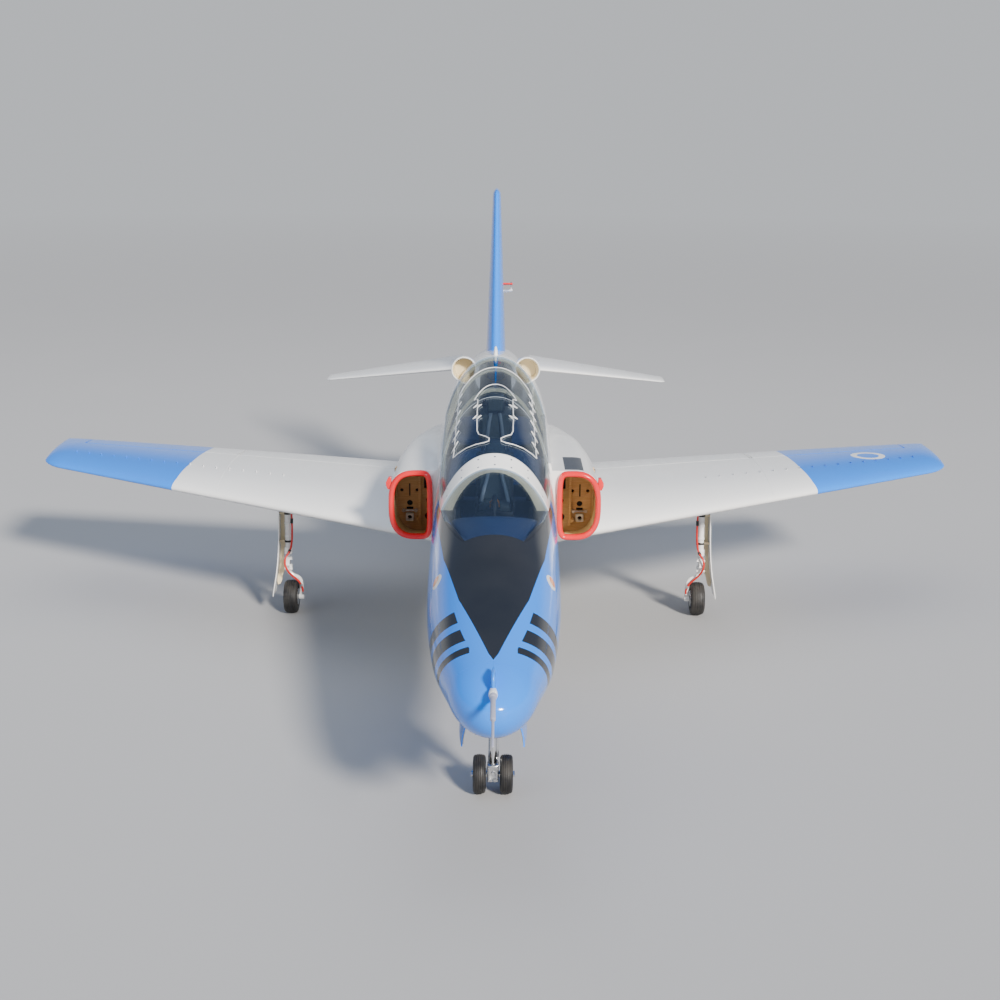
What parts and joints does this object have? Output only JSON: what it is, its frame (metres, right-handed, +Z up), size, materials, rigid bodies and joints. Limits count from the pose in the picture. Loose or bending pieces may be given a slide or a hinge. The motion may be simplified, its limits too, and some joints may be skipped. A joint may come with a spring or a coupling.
{
  "type": "rc jet plane",
  "caption": "Large radio-controlled jet trainer with a tandem cockpit, low swept wing, side intakes, all-moving tailplane and retractable tricycle landing gear.",
  "frame": {"origin": "ground level under the centre of the aircraft's overall plan box, standing on its wheels", "axes": "+Z up; the nose points along -Y and the tail along +Y; +X is the aircraft's left wing; the symmetry plane is x = 0"},
  "size_m": [1.8, 2.2133, 0.78],
  "materials": {
    "blue_gloss": "gloss",
    "white_gloss": "gloss",
    "red_gloss": "gloss",
    "clear_glazing": "clear gloss",
    "plywood": "bare laser-cut plywood",
    "cockpit_blue": "satin",
    "seat_black": "matte",
    "servo_black": "satin",
    "battery_wrap": "shrink film",
    "tank_plastic": "satin",
    "engine_alloy": "brushed",
    "aluminium": "machined",
    "retract_alloy": "anodised",
    "chrome_steel": "polished",
    "leg_white": "gloss",
    "tyre_rubber": "matte"
  },
  "bodies": {
    "airframe": {"nose_tip": "blue_gloss", "fuselage_front": "blue_gloss", "fuselage_centre": "white_gloss", "fuselage_rear": "white_gloss", "pitot_probe": "blue_gloss", "windscreen": "clear_glazing", "blast_screen": "clear_glazing", "cockpit_tub": "cockpit_blue", "seat_front": "seat_black", "seat_rear": "seat_black", "main_former": "plywood", "equipment_tray": "plywood", "battery_pack": "battery_wrap", "fuel_tank": "tank_plastic", "turbine_engine": "engine_alloy", "thrust_tube": "engine_alloy", "wing_tube": "aluminium", "intake_lip_left": "red_gloss", "intake_lip_right": "red_gloss", "intake_duct_left": "plywood", "intake_duct_right": "plywood", "scoop_left": "white_gloss", "scoop_right": "white_gloss", "wing_left": "white_gloss", "wing_right": "white_gloss", "fin": "blue_gloss", "rudder_servo": "servo_black", "nose_retract_unit": "retract_alloy", "main_retract_left": "retract_alloy", "main_retract_right": "retract_alloy"},
    "canopy": {"canopy_frame": "white_gloss", "canopy_glass": "clear_glazing"},
    "aileron_left": {"aileron_left": "white_gloss"},
    "aileron_right": {"aileron_right": "white_gloss"},
    "flap_left": {"flap_left": "white_gloss"},
    "flap_right": {"flap_right": "white_gloss"},
    "rudder": {"rudder": "blue_gloss"},
    "rudder_servo_arm": {"rudder_servo_arm": "red_gloss"},
    "rudder_pushrod": {"rudder_pushrod": "chrome_steel"},
    "stabilator": {"stab_shaft": "chrome_steel", "stab_left": "white_gloss", "stab_right": "white_gloss"},
    "nose_leg": {"nose_trunnion": "aluminium"},
    "nose_strut": {"nose_strut": "chrome_steel"},
    "nose_piston": {"nose_piston": "chrome_steel"},
    "nose_wheels": {"nose_axle": "aluminium", "nose_tyre_left": "tyre_rubber", "nose_tyre_right": "tyre_rubber"},
    "nose_door_left": {"nose_door_left": "white_gloss"},
    "nose_door_right": {"nose_door_right": "white_gloss"},
    "main_leg_left": {"main_leg_left": "leg_white", "main_leg_door_left": "white_gloss"},
    "main_piston_left": {"main_piston_left": "chrome_steel"},
    "main_wheel_left": {"main_hub_left": "aluminium", "main_tyre_left": "tyre_rubber"},
    "main_leg_right": {"main_leg_right": "leg_white", "main_leg_door_right": "white_gloss"},
    "main_piston_right": {"main_piston_right": "chrome_steel"},
    "main_wheel_right": {"main_hub_right": "aluminium", "main_tyre_right": "tyre_rubber"}
  },
  "joints": [
    {"name": "nose_gear_retract", "type": "hinge", "parent": "airframe", "child": "nose_leg", "pos_m": [0, -0.64165, 0.2], "axis": [-1, 0, 0], "range_deg": [0, 98]},
    {"name": "nose_steering", "type": "hinge", "parent": "nose_leg", "child": "nose_strut", "pos_m": [0, -0.64165, 0.2], "axis": [0, 0, 1], "range_deg": [-15, 15]},
    {"name": "nose_suspension", "type": "slide", "parent": "nose_strut", "child": "nose_piston", "axis": [0, 0, 1], "range_m": [-0.004, 0.008], "stiffness_N_per_m": 4000, "springref_m": -0.003},
    {"name": "nose_wheel_spin", "type": "hinge", "parent": "nose_piston", "child": "nose_wheels", "pos_m": [0, -0.64165, 0.028], "axis": [1, 0, 0], "continuous": true},
    {"name": "nose_door_left_hinge", "type": "hinge", "parent": "airframe", "child": "nose_door_left", "pos_m": [0.035, -0.84765, 0.18531], "axis": [0.0378, 0.9984, -0.0426], "range_deg": [0, 90]},
    {"name": "nose_door_right_hinge", "type": "hinge", "parent": "airframe", "child": "nose_door_right", "pos_m": [-0.035, -0.84765, 0.18531], "axis": [0.0378, -0.9984, 0.0426], "range_deg": [0, 90]},
    {"name": "main_gear_left_retract", "type": "hinge", "parent": "airframe", "child": "main_leg_left", "pos_m": [0.396, 0.18535, 0.238], "axis": [0, 1, 0], "range_deg": [0, 90]},
    {"name": "main_suspension_left", "type": "slide", "parent": "main_leg_left", "child": "main_piston_left", "axis": [0, 0, 1], "range_m": [-0.004, 0.01], "stiffness_N_per_m": 9000, "springref_m": -0.0099},
    {"name": "main_wheel_left_spin", "type": "hinge", "parent": "main_piston_left", "child": "main_wheel_left", "pos_m": [0.392, 0.18535, 0.032], "axis": [1, 0, 0], "continuous": true},
    {"name": "main_gear_right_retract", "type": "hinge", "parent": "airframe", "child": "main_leg_right", "pos_m": [-0.396, 0.18535, 0.238], "axis": [0, -1, 0], "range_deg": [0, 90]},
    {"name": "main_suspension_right", "type": "slide", "parent": "main_leg_right", "child": "main_piston_right", "axis": [0, 0, 1], "range_m": [-0.004, 0.01], "stiffness_N_per_m": 9000, "springref_m": -0.0099},
    {"name": "main_wheel_right_spin", "type": "hinge", "parent": "main_piston_right", "child": "main_wheel_right", "pos_m": [-0.392, 0.18535, 0.032], "axis": [1, 0, 0], "continuous": true},
    {"name": "aileron_left_hinge", "type": "hinge", "parent": "airframe", "child": "aileron_left", "pos_m": [0.52, 0.37276, 0.26232], "axis": [0.9683, 0.2485, 0.0272], "range_deg": [-20, 20]},
    {"name": "aileron_right_hinge", "type": "hinge", "parent": "airframe", "child": "aileron_right", "pos_m": [-0.52, 0.37276, 0.26232], "axis": [-0.9683, 0.2485, 0.0272], "range_deg": [-20, 20]},
    {"name": "flap_left_hinge", "type": "hinge", "parent": "airframe", "child": "flap_left", "pos_m": [0.192, 0.2886, 0.25138], "axis": [-0.9681, -0.2484, -0.0324], "range_deg": [0, 35], "stiffness_Nm_per_rad": 5, "springref_deg": -8.59},
    {"name": "flap_right_hinge", "type": "hinge", "parent": "airframe", "child": "flap_right", "pos_m": [-0.192, 0.2886, 0.25138], "axis": [-0.9681, 0.2484, 0.0324], "range_deg": [0, 35], "stiffness_Nm_per_rad": 5, "springref_deg": -8.59},
    {"name": "rudder_hinge", "type": "hinge", "parent": "airframe", "child": "rudder", "pos_m": [0, 0.86093, 0.47], "axis": [0, 0.4023, 0.9155], "range_deg": [-25, 25]},
    {"name": "rudder_servo_shaft", "type": "hinge", "parent": "airframe", "child": "rudder_servo_arm", "pos_m": [0, 0.85393, 0.57091], "axis": [0, 0.4023, 0.9155], "range_deg": [-25, 25]},
    {"name": "rudder_pushrod_clevis", "type": "hinge", "parent": "rudder_servo_arm", "child": "rudder_pushrod", "pos_m": [0.034, 0.85393, 0.57091], "axis": [0, 0.4023, 0.9155], "range_deg": [-25, 25]},
    {"name": "stabilator_pivot", "type": "hinge", "parent": "airframe", "child": "stabilator", "pos_m": [0, 0.89135, 0.386], "axis": [1, 0, 0], "range_deg": [-12, 12], "stiffness_Nm_per_rad": 20, "springref_deg": 1.12},
    {"name": "canopy_lift", "type": "slide", "parent": "airframe", "child": "canopy", "axis": [0, 0, 1], "range_m": [0, 0.15]}
  ],
  "couplings": [
    {"joint": "nose_door_right_hinge", "follows": "nose_door_left_hinge", "ratio": 1},
    {"joint": "main_gear_right_retract", "follows": "main_gear_left_retract", "ratio": 1},
    {"joint": "aileron_right_hinge", "follows": "aileron_left_hinge", "ratio": 1},
    {"joint": "flap_right_hinge", "follows": "flap_left_hinge", "ratio": 1},
    {"joint": "rudder_servo_shaft", "follows": "rudder_hinge", "ratio": 1},
    {"joint": "rudder_pushrod_clevis", "follows": "rudder_hinge", "ratio": -1}
  ]
}
